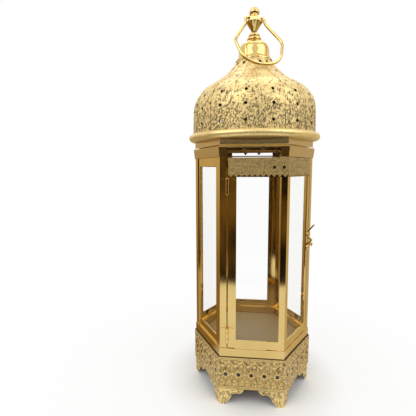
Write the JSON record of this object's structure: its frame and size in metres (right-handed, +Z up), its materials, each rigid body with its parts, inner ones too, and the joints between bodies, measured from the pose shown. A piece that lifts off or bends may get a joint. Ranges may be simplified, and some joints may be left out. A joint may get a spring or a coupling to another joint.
{
  "type": "hexagonal lantern",
  "caption": "Tall hexagonal gold fanous lantern with glass sides, folded hinged door with hook latch, pierced ogee dome, bracket feet and a wire carrying bail.",
  "frame": {"origin": "centre of the plane that the six feet stand on, on the lantern's axis", "axes": "+Z up along the lantern's axis, -Y out of the door's first side, +X to its right"},
  "size_m": [0.1572, 0.1572, 0.4595],
  "materials": {
    "polished_gold": "mirror-polished gold plating",
    "embossed_gold": "embossed champagne gold with dark antique recesses",
    "satin_gold": "satin antique gold",
    "clear_glass": "clear window glass",
    "floor_brown": "matt taupe lacquer"
  },
  "bodies": {
    "lantern_body": {"base_plinth": "polished_gold", "base_skirt": "embossed_gold", "collar": "polished_gold", "corner_post_1": "polished_gold", "corner_post_2": "polished_gold", "corner_post_3": "polished_gold", "corner_post_4": "polished_gold", "corner_post_5": "polished_gold", "cupola": "polished_gold", "dome": "embossed_gold", "finial": "polished_gold", "finial_nut": "polished_gold", "floor_plate": "floor_brown", "foot_1": "embossed_gold", "foot_2": "embossed_gold", "foot_3": "embossed_gold", "foot_4": "embossed_gold", "foot_5": "embossed_gold", "foot_6": "embossed_gold", "glass_pane_1": "clear_glass", "glass_pane_2": "clear_glass", "glass_pane_3": "clear_glass", "glass_pane_4": "clear_glass", "hinge_pins": "polished_gold", "hinge_post_leaves": "polished_gold", "latch_keeper": "polished_gold", "neck_band": "satin_gold", "pane_clips": "polished_gold", "pane_frame_1": "polished_gold", "pane_frame_2": "polished_gold", "pane_frame_3": "polished_gold", "pane_frame_4": "polished_gold", "rim_plate": "polished_gold"},
    "door": {"door_frame": "polished_gold", "door_frieze": "embossed_gold", "door_pane_front": "clear_glass", "door_pane_right": "clear_glass", "door_pane_clips": "polished_gold", "hinge_door_leaves": "polished_gold", "latch_rivet": "polished_gold"},
    "latch": {"latch_hook": "polished_gold"},
    "bail": {"bail": "polished_gold"}
  },
  "joints": [
    {"name": "door_hinge", "type": "hinge", "parent": "lantern_body", "child": "door", "pos_m": [-0.02775, -0.0646, 0.168], "axis": [0, 0, -1], "range_deg": [0, 120]},
    {"name": "latch_pivot", "type": "hinge", "parent": "door", "child": "latch", "pos_m": [0.06613, -0.01018, 0.192], "axis": [0.866, -0.5, 0], "range_deg": [0, 29.8]},
    {"name": "bail_swing", "type": "hinge", "parent": "lantern_body", "child": "bail", "pos_m": [0, 0, 0.4489], "axis": [-0.95, -0.3123, 0], "range_deg": [0, 304.7]}
  ]
}
